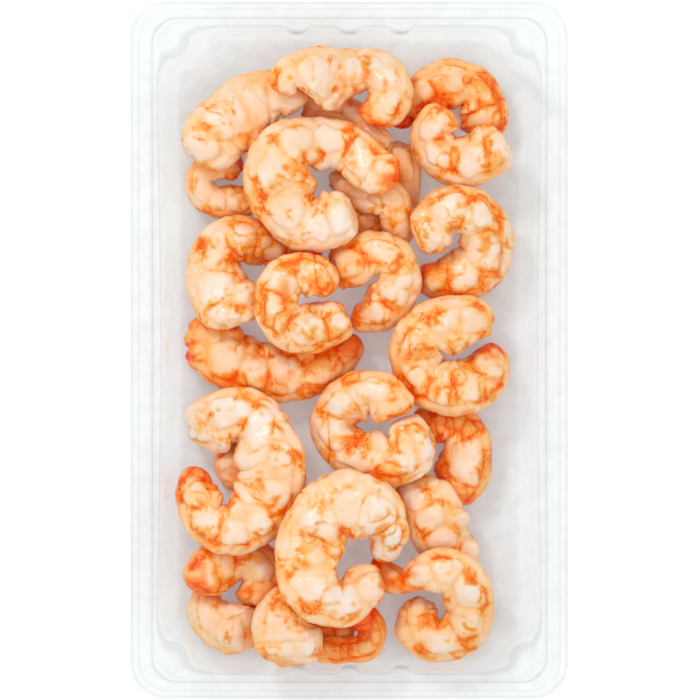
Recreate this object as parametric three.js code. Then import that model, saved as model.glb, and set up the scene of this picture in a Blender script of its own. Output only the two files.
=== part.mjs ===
// A clear food tray packed with a heap of cooked, peeled, curled shrimp.
// Millimetres, +Z up, +Y along the tray's length, origin under the middle of the tray's base.

import * as THREE from 'three';

// Tray: half sizes of its outer edge and the thickness of its clear sheet.
const TRAY_HALF_WIDTH = 72.25;
const TRAY_HALF_LENGTH = 115;
const SHEET = 0.5;

// The tray's upper face from the foot of the outer lip to the flat base. Each station gives the inset
// from the outer edge on the long sides and on the ends, the height, the corner radius and how much of
// the corner pillars, of the end lugs and of the waist of the long sides shows at that height.
const TRAY_STATIONS = [
  { inset: [0, 0], z: 36.6, corner: 11.5, pillar: 0, lug: 0, waist: 0 },
  { inset: [0.2, 0.2], z: 38.4, corner: 11.5, pillar: 0, lug: 0, waist: 0 },
  { inset: [2.4, 2.2], z: 38.8, corner: 10.5, pillar: 0, lug: 0, waist: 0 },
  { inset: [2.9, 2.7], z: 39.3, corner: 10, pillar: 0, lug: 0, waist: 0 },
  { inset: [6.3, 4.6], z: 39.3, corner: 8.5, pillar: 0, lug: 0, waist: 0 },
  { inset: [7.2, 5.5], z: 40, corner: 8, pillar: 0, lug: 0, waist: 0 },
  { inset: [8, 6.5], z: 39.2, corner: 9, pillar: 0.1, lug: 0.1, waist: 0.5 },
  { inset: [9, 8.5], z: 38.9, corner: 21.5, pillar: 0.9, lug: 0.9, waist: 1 },
  { inset: [9.5, 9], z: 38, corner: 22, pillar: 1, lug: 1, waist: 1 },
  { inset: [11.2, 9.6], z: 27, corner: 21.5, pillar: 1, lug: 0, waist: 1 },
  { inset: [13.6, 10.4], z: 4.5, corner: 20, pillar: 1, lug: 0, waist: 0.8 },
  { inset: [14.6, 11.3], z: 1.7, corner: 19.5, pillar: 0.9, lug: 0, waist: 0.8 },
  { inset: [16.6, 13.3], z: 0.5, corner: 18, pillar: 0.7, lug: 0, waist: 0.6 },
];
const PILLAR_DEPTH = 3.4;
const PILLAR_HALF_ANGLE = 14;
const LUG_DEPTH = 2.4;
const LUG_HALF_WIDTH = 4.4;
const LUG_PITCH = 17.1;
const WAIST_DEPTH = 1.4;
const WAIST_REACH = 84;

// Where the outline is sampled: degrees round a corner, and millimetres along a long side.
const CORNER_STEPS = [0, 15, 28, 31, 34, 38, 45, 52, 56, 59, 62, 75, 90];
const SIDE_STEPS = [-60, -30, 0, 30, 60];
const LUG_STEPS = [-4.4, -3.4, -1.8, 0, 1.8, 3.4, 4.4];

// Shrimp: how thick a slight body is for its half height, and the half height at which it is half that.
const THICKNESS_RATIO = 0.98;
const DEEP_BODY = 30;
const SEGMENTS = 6;
const GROOVE = 0.06;
const SECTION_SIDES = 10;
const SECTION_POWER = 0.85;

// The belly, towards the inside of the curl, is this many times as far from the middle line as the back.
// The middle line runs this share of the half height nearer to the belly than the path, and the body is
// wider by as much.
const BELLY_FULLNESS = 1.15;
const BELLY_SHIFT = 0.09;

// The inner side of a bend reaches this share of the way to where the bend's inner sides would meet.
const TIGHTEST = 0.94;

// A body that faces another part of itself end-on takes up at least this share of its half height.
const END_ON = 0.3;

// Places within so many millimetres along a body never part it, and places within so many times both
// their half heights belong to one bend.
const NEIGHBOURS = 6;
const ONE_BEND = 1.3;

// Heap: the gap left between bodies, the steepest a body lies and the cell of the height map.
const CLEARANCE = 0.35;
const STEEPEST = 0.5;
const CELL = 0.5;

const PALE_FLESH = 0xf6d6b4;
const ORANGE_FLESH = 0xf0a060;
const RED_FLESH = 0xe88048;

// The shrimp from the bottom of the heap to its top. Each path runs along the middle of a body from its
// head end: x, y and the half height of the body there.
const SHRIMP = [
  { name: 'small_left', colour: ORANGE_FLESH,
    path: [[-20, -33.5, 5], [-27.5, -35, 6], [-35, -37, 6.5], [-41, -38.5, 6], [-45, -39.5, 3.5]] },
  { name: 'middle_floor', colour: ORANGE_FLESH,
    path: [[-3.5, 38.5, 3.5], [2, 41, 4.5], [7.5, 44, 4.5], [13.5, 46, 3.5]] },
  { name: 'bottom_under', colour: ORANGE_FLESH,
    path: [[-14.5, -93.5, 3.5], [-9, -93.5, 4], [-3, -93, 4], [2, -93, 3]] },
  { name: 'left_under', colour: PALE_FLESH,
    path: [[-35.8, 60.5, 6], [-42.3, 61.5, 6.5], [-48.3, 56.5, 6.5], [-44.8, 50.5, 6.5], [-35.8, 50, 6],
      [-28.3, 51, 5]] },
  { name: 'centre_upright', colour: ORANGE_FLESH,
    path: [[16.5, 69, 4], [17, 65.5, 5], [18.5, 60.5, 5], [19, 55.5, 4.5], [18.5, 51, 4.5],
      [18, 46, 3.5]] },
  { name: 'top_under', colour: PALE_FLESH,
    path: [[-15.5, 81.5, 3.5], [-8, 81, 4.5], [-1.5, 80, 4.5], [4.5, 75.5, 4.5], [10, 71, 3.5],
      [14, 70.5, 2.5]] },
  { name: 'long_left', colour: ORANGE_FLESH,
    path: [[-54.5, 0.5, 5], [-47.5, 0, 8.5], [-39.5, -5, 8.5], [-29.5, -8.5, 8], [-19.5, -9.5, 7.5],
      [-9.5, -7, 7], [-2, -2, 5.5], [3, 4.5, 3.5]] },
  { name: 'top_left', colour: PALE_FLESH,
    path: [[-53.7, 65.9, 5.5], [-48.7, 69.4, 8.5], [-43.2, 74.9, 9.5], [-36.7, 78.9, 10.5],
      [-29.7, 82.4, 10.5], [-22.7, 83.9, 9], [-18.2, 81.9, 6.5], [-16.2, 79.9, 3.5]] },
  { name: 'top_right_arch', colour: ORANGE_FLESH,
    path: [[46, 71.5, 6], [45.5, 80, 7], [42.5, 86.5, 7], [35.5, 89.5, 7.5], [28, 88, 7],
      [21.5, 83.5, 6], [17.5, 79, 5], [17, 73.5, 3]] },
  { name: 'top_right_ring', colour: PALE_FLESH,
    path: [[53, 68, 5.5], [46, 65, 8.5], [38, 63.5, 9.5], [31.5, 66, 9.5], [29, 71.5, 9], [31, 76.5, 8],
      [33.5, 79.5, 5.5]] },
  { name: 'centre_under', colour: ORANGE_FLESH,
    path: [[-5.5, 53.5, 4.5], [0, 55.5, 5.5], [8, 53, 5.5], [14.5, 50, 5.5], [17, 45, 5],
      [17, 39.5, 4.5], [16, 35, 3]] },
  { name: 'right_lower', colour: ORANGE_FLESH,
    path: [[33.5, -50, 5], [37, -45, 7.5], [39.5, -38, 8], [39.5, -31, 8], [36, -25.5, 7.5],
      [30.5, -23.5, 6.5], [24.5, -23.5, 5], [20.5, -23.5, 3]] },
  { name: 'bottom_red', colour: RED_FLESH,
    path: [[-1.5, -88, 4.5], [3.5, -88.5, 5.5], [7, -93, 5.5], [5, -98, 5], [-1, -100, 4],
      [-7.5, -100, 3.5], [-12, -100.5, 3]] },
  { name: 'bottom_left_fan', colour: PALE_FLESH,
    path: [[-37.5, -100.5, 4], [-39, -95.5, 7.5], [-42.5, -90.5, 9], [-45.5, -86.5, 8.5],
      [-46, -82.5, 6.5], [-44.5, -79.5, 4]] },
  { name: 'bottom_left_ring', colour: ORANGE_FLESH,
    path: [[-31, -85.5, 6], [-29.5, -80, 8.5], [-30, -74.5, 9], [-33.5, -71, 9], [-39, -70.5, 8.5],
      [-45, -72, 8], [-49.5, -76, 6.5], [-52, -80, 4.5]] },
  { name: 'bottom_left_white', colour: PALE_FLESH,
    path: [[-22.5, -104, 7.5], [-22, -98.5, 9.5], [-23, -93, 9.5], [-22.5, -88, 8.5], [-20, -83, 7],
      [-17.5, -78, 4.5]] },
  { name: 'lower_right_white', colour: PALE_FLESH,
    path: [[43, -69, 5], [37.5, -68.5, 6], [32, -65.5, 7.5], [28, -59, 8.5], [25, -52, 8],
      [20.5, -46.5, 6], [17.5, -42.5, 3.5]] },
  { name: 'bottom_right', colour: PALE_FLESH,
    path: [[22.7, -81.8, 6.5], [22.3, -87, 8], [24.5, -92, 9], [29.5, -95, 9], [35.5, -93, 9],
      [39, -88.5, 9], [39, -81.5, 9], [35.5, -75.5, 8.5], [29.5, -73.5, 8], [23.5, -75, 7],
      [17.5, -77, 6], [12, -73.5, 3.5], [9.5, -68, 2.5]] },
  { name: 'right_upper', colour: PALE_FLESH,
    path: [[26.5, 31.3, 5.5], [26.8, 36, 7.5], [29, 41.5, 9], [33.5, 45, 9.5], [40, 44, 9.5],
      [44, 38.5, 10], [43.7, 31, 10], [38.7, 26, 9.5], [32.7, 24.5, 9], [27.5, 25, 7.5], [23.5, 27.5, 5]] },
  { name: 'centre_ring', colour: PALE_FLESH,
    path: [[-6, 28, 5], [-1.5, 29, 7.5], [6.5, 30.5, 8.5], [13, 29, 9], [15.5, 23, 8.5],
      [13.5, 17, 8.5], [9, 13.5, 8], [4.5, 12.5, 6.5], [1.5, 14, 4.5]] },
  { name: 'left_middle', colour: PALE_FLESH,
    path: [[-40, 7.5, 6.5], [-41.5, 14, 9.5], [-44.5, 21, 9.5], [-44.5, 28, 9.5], [-42, 34, 8.5],
      [-36.5, 37, 8], [-31, 36.5, 6.5], [-25.5, 34.5, 5], [-20, 33, 4.5], [-14, 32.5, 4],
      [-9, 31.5, 2.5]] },
  { name: 'right_middle', colour: ORANGE_FLESH,
    path: [[47.5, 7.3, 5.5], [40.8, 8.3, 8.8], [33.1, 8.5, 9], [25.1, 5.5, 9], [22.1, -1.5, 9],
      [24.6, -9, 9], [31.6, -13, 8.5], [39.1, -12.5, 8.5], [44.1, -8.5, 8.5], [46.4, -3, 7.5],
      [48.2, 2.3, 5]] },
  { name: 'left_large', colour: PALE_FLESH,
    path: [[-53.5, -25.5, 5], [-47.5, -23.5, 8], [-39.5, -21.5, 9], [-32.5, -23, 9.5],
      [-27, -30.5, 9.5], [-24, -39.5, 9.5], [-26, -49, 10], [-32.5, -56.5, 9.5], [-40, -59.5, 8.5],
      [-47, -57, 7.5], [-50.5, -50.5, 6.5], [-51.5, -44, 5.5], [-49.5, -39, 3]] },
  { name: 'top_centre', colour: PALE_FLESH,
    path: [[-21.5, 84.5, 4], [-19.5, 90, 7], [-13, 91.5, 9], [-6, 91.5, 8.5], [1, 91, 8.5],
      [8, 90.5, 9.5], [11.5, 86, 9.5], [10.5, 79.5, 8], [8.5, 74, 5.5]] },
  { name: 'centre_lower', colour: PALE_FLESH,
    path: [[27.5, -29, 7], [22.5, -31, 9.5], [14.5, -36, 9], [6.5, -35, 8.5], [0.5, -33, 8.5],
      [-4, -25.5, 9], [-1, -18, 8.5], [6, -14, 7.5], [13, -16, 7.5], [17.5, -18, 5], [20.5, -20, 2.5]] },
  { name: 'upper_left_large', colour: PALE_FLESH,
    path: [[2, 45, 5.5], [-7, 42, 9], [-15.5, 43, 10], [-21, 49, 11], [-23, 57, 12.5],
      [-21.5, 64, 11.5], [-16.5, 68.5, 9], [-9.5, 69.5, 7.5], [-2.5, 69, 7], [2.5, 66.5, 6.5],
      [7, 62, 6.5], [12, 59, 6], [16.5, 56.5, 4]] },
  { name: 'centre_left_ring', colour: PALE_FLESH,
    path: [[-1, 12.3, 6], [-6.5, 8.8, 8], [-13.5, 7, 8.5], [-20.5, 9, 8], [-24, 15, 7.5],
      [-22.5, 21.5, 7.5], [-17.5, 25, 7.5], [-11.8, 24.2, 7.5], [-8.3, 21, 6.5], [-7, 17.8, 4.5]] },
  { name: 'bottom_centre_large', colour: PALE_FLESH,
    path: [[11.5, -79, 5], [5.5, -79.5, 6.5], [-2, -83, 8.5], [-8.5, -81.5, 9.5], [-13.5, -75, 10],
      [-14.5, -67, 10], [-12, -59.5, 10], [-6.5, -53.5, 11], [0.5, -51.5, 11.5], [8, -54, 10.5],
      [12.5, -59.5, 8], [13, -65.5, 5], [14.5, -70, 2.5]] },
];

const radians = THREE.MathUtils.degToRad;
const clamp = THREE.MathUtils.clamp;

// The skin over a run of rings of equal count, open at its first and last ring.
function skinOverRings(rings) {
  const count = rings[0].length;
  const positions = rings.flat().flatMap((p) => [p.x, p.y, p.z]);
  const index = [];
  for (let r = 0; r + 1 < rings.length; r += 1) {
    const here = r * count;
    const there = here + count;
    for (let i = 0; i < count; i += 1) {
      const next = (i + 1) % count;
      index.push(here + i, here + next, there + next, here + i, there + next, there + i);
    }
  }
  const geometry = new THREE.BufferGeometry();
  geometry.setAttribute('position', new THREE.Float32BufferAttribute(positions, 3));
  geometry.setIndex(index);
  return geometry;
}

// How far a pillar, centred on its corner, pushes the outline in at this angle.
function pillarPush(degrees, amount) {
  const off = Math.abs((degrees % 90) - 45) / PILLAR_HALF_ANGLE;
  return off < 1 ? amount * PILLAR_DEPTH * Math.cos((off * Math.PI) / 2) ** 0.8 : 0;
}

// How far the three lugs of an end push the outline in at this place across it.
function lugPush(offset, amount) {
  const t = Math.abs(offset) / LUG_HALF_WIDTH;
  return t < 1 ? amount * LUG_DEPTH * Math.cos((t * Math.PI) / 2) ** 0.8 : 0;
}

// The tray's outline at one station, counter-clockwise from the middle of the right side's top corner.
function trayOutline(station, inset, z) {
  const halfX = TRAY_HALF_WIDTH - inset[0];
  const halfY = TRAY_HALF_LENGTH - inset[1];
  const outline = [];
  const corner = (sx, sy, from) => {
    for (const step of CORNER_STEPS) {
      const reach = station.corner - pillarPush(step, station.pillar);
      const angle = radians(from + step);
      outline.push(new THREE.Vector3(
        sx * (halfX - station.corner) + reach * Math.cos(angle),
        sy * (halfY - station.corner) + reach * Math.sin(angle),
        z,
      ));
    }
  };
  const end = (sy) => {
    for (const lug of [LUG_PITCH, 0, -LUG_PITCH]) {
      for (const step of LUG_STEPS) {
        const x = sy * (lug - step);
        outline.push(new THREE.Vector3(x, sy * (halfY - lugPush(step, station.lug)), z));
      }
    }
  };
  const side = (sx) => {
    for (const step of SIDE_STEPS) {
      const y = sx * step;
      const waist = station.waist * WAIST_DEPTH * (1 - (step / WAIST_REACH) ** 2);
      outline.push(new THREE.Vector3(sx * (halfX - waist), y, z));
    }
  };
  corner(1, 1, 0);
  end(1);
  corner(-1, 1, 90);
  side(-1);
  corner(-1, -1, 180);
  end(-1);
  corner(1, -1, 270);
  side(1);
  return outline;
}

// The sheet's normal at a station, in the plane of inset and height, pointing to the underside.
function sheetNormal(i) {
  const before = TRAY_STATIONS[Math.max(i - 1, 0)];
  const after = TRAY_STATIONS[Math.min(i + 1, TRAY_STATIONS.length - 1)];
  const run = after.inset[0] - before.inset[0];
  const rise = after.z - before.z;
  if (i === TRAY_STATIONS.length - 1) {
    return [0, -1];
  }
  const length = Math.hypot(run, rise);
  return [rise / length, -run / length];
}

// The tray: its underside out to the lip, then its upper face back in, closed over the base on both.
function trayGeometry() {
  const upper = TRAY_STATIONS.map((station) => trayOutline(station, station.inset, station.z));
  const under = TRAY_STATIONS.map((station, i) => {
    const [inward, up] = sheetNormal(i);
    const inset = station.inset.map((value) => value + inward * SHEET);
    return trayOutline(station, inset, station.z + up * SHEET);
  });
  const rings = [...under.slice().reverse(), ...upper];
  const geometry = skinOverRings(rings);
  const index = Array.from(geometry.getIndex().array);
  const flat = upper[upper.length - 1].map((p) => new THREE.Vector2(p.x, p.y));
  const last = (rings.length - 1) * flat.length;
  for (const [a, b, c] of THREE.ShapeUtils.triangulateShape(flat, [])) {
    index.push(a, c, b);
    index.push(last + a, last + b, last + c);
  }
  geometry.setIndex(index);
  return geometry;
}

// Height of the tray's inner face above the table at a place in plan: base, fillet, then drafted wall.
function trayFloor(x, y) {
  const base = TRAY_STATIONS[TRAY_STATIONS.length - 1];
  const foot = TRAY_STATIONS[TRAY_STATIONS.length - 3];
  const brim = TRAY_STATIONS[TRAY_STATIONS.length - 5];
  const halfX = TRAY_HALF_WIDTH - foot.inset[0] - WAIST_DEPTH - foot.corner;
  const halfY = TRAY_HALF_LENGTH - foot.inset[1] - foot.corner;
  const outX = Math.abs(x) - halfX;
  const outY = Math.abs(y) - halfY;
  const outside = Math.hypot(Math.max(outX, 0), Math.max(outY, 0));
  const beyond = outside + Math.min(Math.max(outX, outY), 0) - foot.corner;
  const steepest = (brim.z - foot.z) / (foot.inset[1] - brim.inset[1]);
  const fillet = base.inset[0] - foot.inset[0];
  if (beyond > 0) {
    return Math.min(foot.z + beyond * steepest, brim.z);
  }
  return base.z + (foot.z - base.z) * Math.max(0, 1 + beyond / fillet) ** 2;
}

// Points, unit tangents and half heights at even spacing along the smooth curve through a path.
function middleLine(path) {
  const curve = new THREE.CatmullRomCurve3(path.map((p) => new THREE.Vector3(...p)), false, 'catmullrom');
  curve.arcLengthDivisions = 400;
  const steps = Math.round(curve.getLength());
  return Array.from({ length: steps + 1 }, (_, i) => {
    const point = curve.getPointAt(i / steps);
    const half = point.z;
    const tangent = curve.getTangentAt(i / steps).setZ(0).normalize();
    return { point: point.setZ(0), tangent, half };
  });
}

// The values up to this many places either side of one.
function around(values, i, reach) {
  return values.slice(Math.max(0, i - reach), i + reach + 1);
}

function mean(values) {
  return values.reduce((sum, value) => sum + value, 0) / values.length;
}

// The least of each value and its neighbours, then the mean of those.
function eased(values, reach) {
  const least = values.map((_, i) => Math.min(...around(values, i, reach)));
  return least.map((_, i) => mean(around(least, i, reach)));
}

// The side of the line that the belly is on.
function bellySide(stations) {
  const turning = stations.slice(1).reduce((sum, { tangent }, i) => {
    const before = stations[i].tangent;
    return sum + before.x * tangent.y - before.y * tangent.x;
  }, 0);
  return turning > 0 ? 'left' : 'right';
}

// The stations with a fuller belly: the back stays where it is.
function withFullBelly(stations) {
  const towards = bellySide(stations) === 'left' ? 1 : -1;
  return stations.map(({ point, tangent, half }) => {
    const shift = BELLY_SHIFT * half;
    const across = new THREE.Vector3(-tangent.y, tangent.x, 0).multiplyScalar(towards * shift);
    return { point: point.clone().add(across), tangent, half: half + shift };
  });
}

// How much room a station's section takes up in a direction.
function reachAlong(station, direction) {
  const across = new THREE.Vector3(-station.tangent.y, station.tangent.x, 0);
  return station.half * Math.max(Math.abs(across.dot(direction)) / direction.length(), END_ON);
}

// Half heights on the left and right of the line, trimmed so that a tight curl doesn't run into itself.
function trimToCurl(stations) {
  const shares = { left: stations.map(() => 1), right: stations.map(() => 1) };
  shares[bellySide(stations)].fill(BELLY_FULLNESS);
  stations.forEach((here, i) => {
    const across = new THREE.Vector3(-here.tangent.y, here.tangent.x, 0);
    stations.forEach((there, j) => {
      if (Math.abs(i - j) < NEIGHBOURS) {
        return;
      }
      const apart = there.point.clone().sub(here.point);
      const beside = Math.max(Math.abs(apart.dot(across)), 0.001);
      const meeting = apart.lengthSq() / (2 * beside);
      const share = Math.abs(i - j) < ONE_BEND * (here.half + there.half)
        ? (TIGHTEST * meeting) / here.half
        : (apart.length() - CLEARANCE) / (reachAlong(here, apart) + reachAlong(there, apart));
      const side = apart.dot(across) > 0 ? 'left' : 'right';
      shares[side][i] = Math.min(shares[side][i], share);
    });
  });
  const trimmed = (side) => eased(shares[side], 2).map((share, i) => share * stations[i].half);
  return { left: trimmed('left'), right: trimmed('right') };
}

// A height map over the tray, holding the highest thing laid so far.
class HeightMap {
  constructor() {
    this.columns = Math.round((2 * TRAY_HALF_WIDTH) / CELL);
    this.rows = Math.round((2 * TRAY_HALF_LENGTH) / CELL);
    this.cells = new Float64Array(this.columns * this.rows);
    for (let i = 0; i < this.cells.length; i += 1) {
      const x = ((i % this.columns) + 0.5) * CELL - TRAY_HALF_WIDTH;
      const y = (Math.floor(i / this.columns) + 0.5) * CELL - TRAY_HALF_LENGTH;
      this.cells[i] = trayFloor(x, y);
    }
  }

  cell(x, y) {
    const column = clamp(Math.floor((x + TRAY_HALF_WIDTH) / CELL), 0, this.columns - 1);
    const row = clamp(Math.floor((y + TRAY_HALF_LENGTH) / CELL), 0, this.rows - 1);
    return row * this.columns + column;
  }

  height(x, y) {
    return this.cells[this.cell(x, y)];
  }

  raise(x, y, z) {
    const cell = this.cell(x, y);
    this.cells[cell] = Math.max(this.cells[cell], z);
  }
}

// Visits the places across a body at one station: how far out, and how thick it is there.
function acrossBody(left, right, thickness, visit) {
  const steps = Math.ceil((left + right) / (CELL * 0.6));
  for (let i = 0; i <= steps; i += 1) {
    const d = -right + ((left + right) * i) / steps;
    const share = d > 0 ? d / left : d / right;
    visit(d, thickness * Math.sqrt(Math.max(0, 1 - share * share)));
  }
}

// Lays one body on the heap: the heights of its middle line, as low as it goes without bending sharply.
function settle(map, stations, sides) {
  const place = (station, d) => [
    station.point.x - station.tangent.y * d,
    station.point.y + station.tangent.x * d,
  ];
  const thickness = stations.map(({ half }) => (THICKNESS_RATIO * half) / (1 + half / DEEP_BODY));
  const need = stations.map((station, i) => {
    let most = 0;
    acrossBody(sides.left[i], sides.right[i], thickness[i], (d, half) => {
      most = Math.max(most, map.height(...place(station, d)) + half + CLEARANCE);
    });
    return most;
  });
  const draped = need.map((_, i) => Math.max(...need.map((value, j) => value - STEEPEST * Math.abs(i - j))));
  const smooth = draped.map((_, i) => mean(around(draped, i, 5)));
  const lift = Math.max(0, ...need.map((value, i) => value - smooth[i]));
  const level = smooth.map((value) => value + lift);
  for (let i = 0; i + 1 < stations.length; i += 1) {
    for (const part of [0, 0.5]) {
      const mix = (values) => values[i] * (1 - part) + values[i + 1] * part;
      const between = {
        point: stations[i].point.clone().lerp(stations[i + 1].point, part),
        tangent: stations[i].tangent.clone().lerp(stations[i + 1].tangent, part).normalize(),
      };
      acrossBody(mix(sides.left), mix(sides.right), mix(thickness), (d, half) => {
        map.raise(...place(between, d), mix(level) + half);
      });
    }
  }
  return { level, thickness };
}

// The fractions of a body's length where its rings stand, and how full each is: a rounded head and
// tail, and between them a full ring in each segment and a groove between segments.
function ringPlan() {
  const plan = [{ s: 0, full: 0.55 }, { s: 0.03, full: 0.9 }];
  for (let i = 0; i < SEGMENTS; i += 1) {
    plan.push({ s: (i + 0.5) / SEGMENTS, full: 1 });
    if (i + 1 < SEGMENTS) {
      plan.push({ s: (i + 1) / SEGMENTS, full: 1 - GROOVE });
    }
  }
  plan.push({ s: 0.975, full: 0.85 }, { s: 1, full: 0.45 });
  return plan;
}

// One shrimp's body, lofted over its rings.
function shrimpGeometry(stations, sides, level, thickness) {
  const at = (values, s) => {
    const f = s * (values.length - 1);
    const i = Math.min(Math.floor(f), values.length - 2);
    return values[i] + (values[i + 1] - values[i]) * (f - i);
  };
  const rings = ringPlan().map(({ s, full }) => {
    const x = at(stations.map((station) => station.point.x), s);
    const y = at(stations.map((station) => station.point.y), s);
    const tx = at(stations.map((station) => station.tangent.x), s);
    const ty = at(stations.map((station) => station.tangent.y), s);
    const z = at(level, s);
    const ring = [];
    for (let i = 0; i < SECTION_SIDES; i += 1) {
      const angle = (2 * Math.PI * i) / SECTION_SIDES;
      const c = Math.sign(Math.cos(angle)) * Math.abs(Math.cos(angle)) ** SECTION_POWER;
      const d = full * c * at(c > 0 ? sides.left : sides.right, s);
      ring.push(new THREE.Vector3(x - ty * d, y + tx * d, z + full * at(thickness, s) * Math.sin(angle)));
    }
    return ring;
  });
  const geometry = skinOverRings(rings);
  const positions = Array.from(geometry.getAttribute('position').array);
  const index = Array.from(geometry.getIndex().array);
  const cap = (ring, first, outward) => {
    const centre = ring.reduce((sum, p) => sum.add(p), new THREE.Vector3()).divideScalar(ring.length);
    const tip = positions.length / 3;
    positions.push(centre.x, centre.y, centre.z);
    for (let i = 0; i < ring.length; i += 1) {
      const next = (i + 1) % ring.length;
      index.push(tip, first + (outward ? i : next), first + (outward ? next : i));
    }
  };
  cap(rings[0], 0, false);
  cap(rings[rings.length - 1], (rings.length - 1) * SECTION_SIDES, true);
  geometry.setAttribute('position', new THREE.Float32BufferAttribute(positions, 3));
  geometry.setIndex(index);
  return geometry;
}

function namedMesh(name, geometry, material) {
  const mesh = new THREE.Mesh(geometry, material);
  mesh.name = name;
  return mesh;
}

function clearPlastic() {
  return new THREE.MeshStandardMaterial({ color: 0xeef1f2, roughness: 0.12, metalness: 0 });
}

function flesh(colour) {
  return new THREE.MeshStandardMaterial({ color: colour, roughness: 0.35, metalness: 0 });
}

const plate = new THREE.Group();
plate.add(namedMesh('tray', trayGeometry(), clearPlastic()));
const heap = new HeightMap();
for (const { name, colour, path } of SHRIMP) {
  const stations = withFullBelly(middleLine(path));
  const sides = trimToCurl(stations);
  const { level, thickness } = settle(heap, stations, sides);
  plate.add(namedMesh(`shrimp_${name}`, shrimpGeometry(stations, sides, level, thickness), flesh(colour)));
}

export default plate;
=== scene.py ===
"""Looks of a clear food tray packed with a heap of cooked, peeled, curled shrimp.

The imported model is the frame, in metres, +Z up, +Y along the tray. Sizes in this script are
millimetres, as on the part, and are turned into metres where they reach Blender. Those of the floor
and the lamps alone are in metres.
"""

import math

import bpy
import numpy as np
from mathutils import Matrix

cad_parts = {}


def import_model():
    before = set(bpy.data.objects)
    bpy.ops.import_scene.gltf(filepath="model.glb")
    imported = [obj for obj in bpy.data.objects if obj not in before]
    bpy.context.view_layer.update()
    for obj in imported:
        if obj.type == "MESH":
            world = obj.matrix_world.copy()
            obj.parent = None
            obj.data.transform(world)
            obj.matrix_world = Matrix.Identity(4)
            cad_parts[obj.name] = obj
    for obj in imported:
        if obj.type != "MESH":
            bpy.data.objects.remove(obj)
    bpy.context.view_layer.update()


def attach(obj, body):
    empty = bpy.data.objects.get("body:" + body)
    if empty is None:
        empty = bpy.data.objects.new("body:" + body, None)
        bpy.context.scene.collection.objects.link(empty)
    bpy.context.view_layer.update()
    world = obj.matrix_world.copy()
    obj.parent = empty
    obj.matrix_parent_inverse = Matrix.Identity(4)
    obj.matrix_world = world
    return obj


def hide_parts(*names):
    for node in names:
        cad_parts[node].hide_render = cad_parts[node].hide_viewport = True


MM = 0.001

# Tray: half sizes of its outer edge and the thickness of its clear sheet.
TRAY_HALF_WIDTH = 72.25
TRAY_HALF_LENGTH = 115
SHEET = 0.5

# The tray's upper face from the foot of the outer lip to the flat base: inset from the outer edge on the
# long sides and on the ends, height, corner radius, and how much of the corner pillars, of the end lugs
# and of the waist of the long sides shows there.
TRAY_STATIONS = np.array([
    (0, 0, 36.6, 11.5, 0, 0, 0),
    (0.2, 0.2, 38.4, 11.5, 0, 0, 0),
    (2.4, 2.2, 38.8, 10.5, 0, 0, 0),
    (2.9, 2.7, 39.3, 10, 0, 0, 0),
    (6.3, 4.6, 39.3, 8.5, 0, 0, 0),
    (7.2, 5.5, 40, 8, 0, 0, 0),
    (8, 6.5, 39.2, 9, 0.1, 0.1, 0.5),
    (9, 8.5, 38.9, 21.5, 0.9, 0.9, 1),
    (9.5, 9, 38, 22, 1, 1, 1),
    (11.2, 9.6, 27, 21.5, 1, 0, 1),
    (13.6, 10.4, 4.5, 20, 1, 0, 0.8),
    (14.6, 11.3, 1.7, 19.5, 0.9, 0, 0.8),
    (16.6, 13.3, 0.5, 18, 0.7, 0, 0.6),
])
PILLAR_DEPTH = 3.4
PILLAR_HALF_ANGLE = 14
LUG_DEPTH = 2.4
LUG_HALF_WIDTH = 4.4
LUG_PITCH = 17.1
WAIST_DEPTH = 1.4
WAIST_REACH = 84

# Fine outline of the tray: points on each corner, each lug and each long side, and half that side's run.
CORNER_POINTS = 46
LUG_POINTS = 17
SIDE_POINTS = 27
SIDE_RUN = 76

# Body: how thick a slight body is for its half height, the half height at which it is half that, how
# many times as far from the middle line the belly is as the back, how far the middle line is shifted
# towards the belly as a share of the half height, how long a segment is and how square the section is.
THICKNESS_RATIO = 0.98
DEEP_BODY = 30
BELLY_FULLNESS = 1.15
BELLY_SHIFT = 0.09
SEGMENT_LENGTH = 11
SECTION_POWER = 0.85

# Curl: how close the inner side of a bend comes to where the inner sides would meet, how much of its half
# height a body takes up end-on, the distance along a body within which places never part it, and how many
# times both half heights the places of one bend lie apart at most.
TIGHTEST = 0.94
END_ON = 0.3
NEIGHBOURS = 6
ONE_BEND = 1.3

# Heap: the gap left between bodies, the steepest a body lies, the cell of the height map, how far around
# a place the heap shades it, and how high above it the heap starts to do so and does so in full.
CLEARANCE = 0.35
STEEPEST = 0.5
CELL = 0.5
SHADE_REACH = 3
SHADE_RISE = (1.5, 5)

# Fine mesh: the spacing of rings along a body, the points round one ring, and how far from each end a
# body reaches its full width, as a share of its half height there.
RING_SPACING = 0.33
RING_POINTS = 96
HEAD_ROUNDING = 0.45
TAIL_ROUNDING = 0.9

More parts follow.
